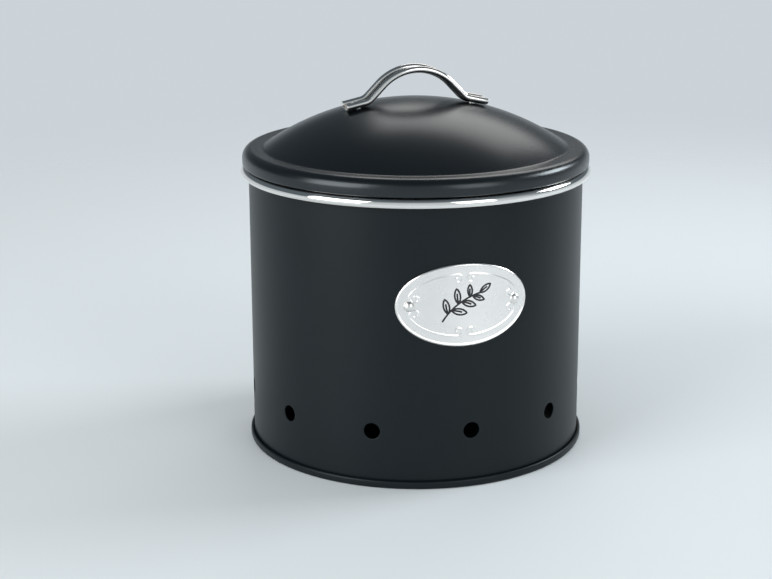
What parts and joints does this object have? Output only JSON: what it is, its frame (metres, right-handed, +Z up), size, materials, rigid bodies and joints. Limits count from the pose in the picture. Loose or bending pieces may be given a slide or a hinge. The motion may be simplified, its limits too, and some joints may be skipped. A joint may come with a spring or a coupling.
{
  "type": "storage jar",
  "caption": "Round sheet-metal storage jar with ventilation holes round its foot, an oval label plate and a domed lift-off lid with a bowed strap handle.",
  "frame": {"origin": "middle of the jar's underside, in the plane it rests on", "axes": "+Z up along the jar's axis; the label faces -Y; the handle runs along X"},
  "size_m": [0.1882, 0.1882, 0.2044],
  "materials": {
    "body_coat": "fine matte powder coat",
    "lid_coat": "smooth satin coat",
    "bright_ring": "polished",
    "bright_strap": "polished",
    "label_metal": "pale satin plating over pressed relief",
    "rivet_metal": "polished",
    "washer_metal": "plain plated"
  },
  "bodies": {
    "container": {"body_shell": "body_coat", "base_pan": "body_coat", "rim_ring": "bright_ring", "label_plate": "label_metal", "label_rivet_left": "rivet_metal", "label_rivet_right": "rivet_metal"},
    "lid": {"lid_shell": "lid_coat", "lid_collar": "lid_coat", "handle_strap": "bright_strap", "handle_rivet_left": "rivet_metal", "handle_rivet_right": "rivet_metal", "handle_washer_left": "washer_metal", "handle_washer_right": "washer_metal"}
  },
  "joints": [
    {"name": "lid_lift", "type": "slide", "parent": "container", "child": "lid", "axis": [0, 0, 1], "range_m": [0, 0.06]}
  ]
}
